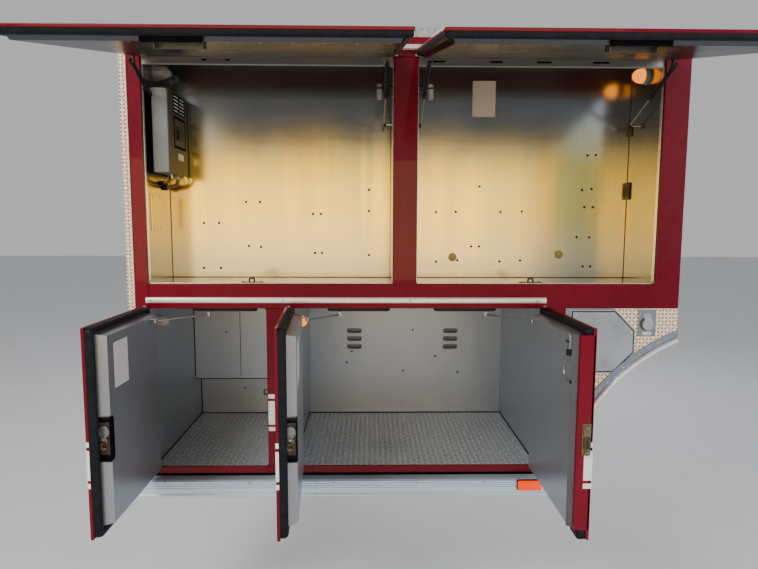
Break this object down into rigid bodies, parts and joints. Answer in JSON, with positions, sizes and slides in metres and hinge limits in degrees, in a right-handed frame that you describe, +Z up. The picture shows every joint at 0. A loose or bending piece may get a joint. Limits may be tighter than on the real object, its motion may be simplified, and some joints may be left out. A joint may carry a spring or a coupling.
{
  "type": "fire engine side locker body",
  "caption": "Side locker body of a fire engine: upper lockers with lift-up doors on gas struts, lower lockers with swing doors, ribbed rub rail and part of a wheel arch.",
  "frame": {"origin": "middle of the line of chassis bolts, on the inboard face of the mounting rail", "axes": "+X towards the vehicle's rear, +Y inboard, away from the face with the doors, +Z up"},
  "size_m": [2.465, 1.829, 2.068],
  "materials": {
    "red_paint": "gloss",
    "brushed_aluminium": "satin",
    "tread_plate": "satin",
    "bright_trim": "polished",
    "black_rubber": "matte",
    "black_metal": "satin",
    "steel": "satin",
    "grey_box": "matte",
    "grey_panel": "satin",
    "amber_lens": "gloss",
    "lamp_lens": "gloss",
    "fitting_plastic": "matte"
  },
  "bodies": {
    "body": {"face_frame": "red_paint", "upper_front_locker": "brushed_aluminium", "upper_rear_locker": "brushed_aluminium", "lower_front_locker": "brushed_aluminium", "lower_rear_locker": "brushed_aluminium", "lower_floor_plates": "tread_plate", "cross_bearers": "black_metal", "deck_plate": "tread_plate", "drip_rail": "bright_trim", "header_strips": "bright_trim", "drip_strip": "bright_trim", "rub_rail": "bright_trim", "marker_lamp": "amber_lens", "front_trim": "tread_plate", "fender_panel": "tread_plate", "arch_moulding": "bright_trim", "arch_liner": "black_metal", "access_panel": "grey_panel", "fender_catch": "grey_panel", "mounting_rail": "steel", "side_hinges": "steel", "check_tracks": "steel", "lift_hinges": "steel", "strikers": "steel", "electrical_box": "grey_box", "locker_lamps": "lamp_lens", "post_fittings": "fitting_plastic"},
    "lift_front_door": {"lift_front_door_skin": "red_paint", "lift_front_door_seal": "black_rubber", "lift_front_door_pan": "brushed_aluminium", "lift_front_door_latch": "black_metal"},
    "strut_tubes_front": {"strut_tubes_front": "black_metal"},
    "strut_rods_front": {"strut_rods_front": "steel"},
    "lift_rear_door": {"lift_rear_door_skin": "red_paint", "lift_rear_door_seal": "black_rubber", "lift_rear_door_pan": "brushed_aluminium", "lift_rear_door_latch": "black_metal"},
    "strut_tubes_rear": {"strut_tubes_rear": "black_metal"},
    "strut_rods_rear": {"strut_rods_rear": "steel"},
    "side_front_door": {"side_front_door_skin": "red_paint", "side_front_door_seal": "black_rubber", "side_front_door_pan": "brushed_aluminium", "side_front_door_latch": "black_metal"},
    "check_rod_front": {"check_rod_front": "steel"},
    "side_mid_door": {"side_mid_door_skin": "red_paint", "side_mid_door_seal": "black_rubber", "side_mid_door_pan": "brushed_aluminium", "side_mid_door_latch": "black_metal"},
    "check_rod_mid": {"check_rod_mid": "steel"},
    "side_rear_door": {"side_rear_door_skin": "red_paint", "side_rear_door_seal": "black_rubber", "side_rear_door_pan": "brushed_aluminium", "side_rear_door_latch": "black_metal"},
    "check_rod_rear": {"check_rod_rear": "steel"}
  },
  "joints": [
    {"name": "side_front_door_hinge", "type": "hinge", "parent": "body", "child": "side_front_door", "pos_m": [-0.884, -0.872, 0.163], "axis": [0, 0, 1], "range_deg": [0, 90]},
    {"name": "side_mid_door_hinge", "type": "hinge", "parent": "body", "child": "side_mid_door", "pos_m": [-0.254, -0.872, 0.163], "axis": [0, 0, 1], "range_deg": [0, 86]},
    {"name": "side_rear_door_hinge", "type": "hinge", "parent": "body", "child": "side_rear_door", "pos_m": [0.88, -0.872, 0.163], "axis": [0, 0, -1], "range_deg": [0, 90]},
    {"name": "lift_front_door_hinge", "type": "hinge", "parent": "body", "child": "lift_front_door", "pos_m": [-0.3365, -0.849, 1.621], "axis": [1, 0, 0], "range_deg": [0, 76.8]},
    {"name": "lift_rear_door_hinge", "type": "hinge", "parent": "body", "child": "lift_rear_door", "pos_m": [0.8475, -0.849, 1.621], "axis": [1, 0, 0], "range_deg": [0, 76.8]},
    {"name": "check_rod_front_pin", "type": "hinge", "parent": "side_front_door", "child": "check_rod_front", "pos_m": [-0.8, -0.98, 0.494], "axis": [0, 0, 1], "range_deg": [-138.46, 0]},
    {"name": "check_rod_mid_pin", "type": "hinge", "parent": "side_mid_door", "child": "check_rod_mid", "pos_m": [-0.1649, -0.94195, 0.494], "axis": [0, 0, 1], "range_deg": [-136.05, 0]},
    {"name": "check_rod_rear_pin", "type": "hinge", "parent": "side_rear_door", "child": "check_rod_rear", "pos_m": [0.796, -0.972, 0.494], "axis": [0, 0, -1], "range_deg": [-138.98, 0]},
    {"name": "strut_front_eye", "type": "hinge", "parent": "lift_front_door", "child": "strut_tubes_front", "pos_m": [-0.3365, -0.97708, 1.55398], "axis": [1, 0, 0], "range_deg": [-76.97, 0]},
    {"name": "strut_front_stroke", "type": "slide", "parent": "strut_tubes_front", "child": "strut_rods_front", "axis": [0, -0.9125, 0.409], "range_m": [0, 0.17978]},
    {"name": "strut_rear_eye", "type": "hinge", "parent": "lift_rear_door", "child": "strut_tubes_rear", "pos_m": [0.8475, -0.97708, 1.55398], "axis": [1, 0, 0], "range_deg": [-76.97, 0]},
    {"name": "strut_rear_stroke", "type": "slide", "parent": "strut_tubes_rear", "child": "strut_rods_rear", "axis": [0, -0.9125, 0.409], "range_m": [0, 0.17978]}
  ],
  "couplings": [
    {"joint": "check_rod_front_pin", "follows": "side_front_door_hinge", "ratio": -1.5379},
    {"joint": "check_rod_mid_pin", "follows": "side_mid_door_hinge", "ratio": -1.5814},
    {"joint": "check_rod_rear_pin", "follows": "side_rear_door_hinge", "ratio": -1.5436},
    {"joint": "strut_front_eye", "follows": "lift_front_door_hinge", "ratio": -1.0015},
    {"joint": "strut_front_stroke", "follows": "lift_front_door_hinge", "m_per_rad": 0.13397},
    {"joint": "strut_rear_eye", "follows": "lift_rear_door_hinge", "ratio": -1.0015},
    {"joint": "strut_rear_stroke", "follows": "lift_rear_door_hinge", "m_per_rad": 0.13397}
  ]
}
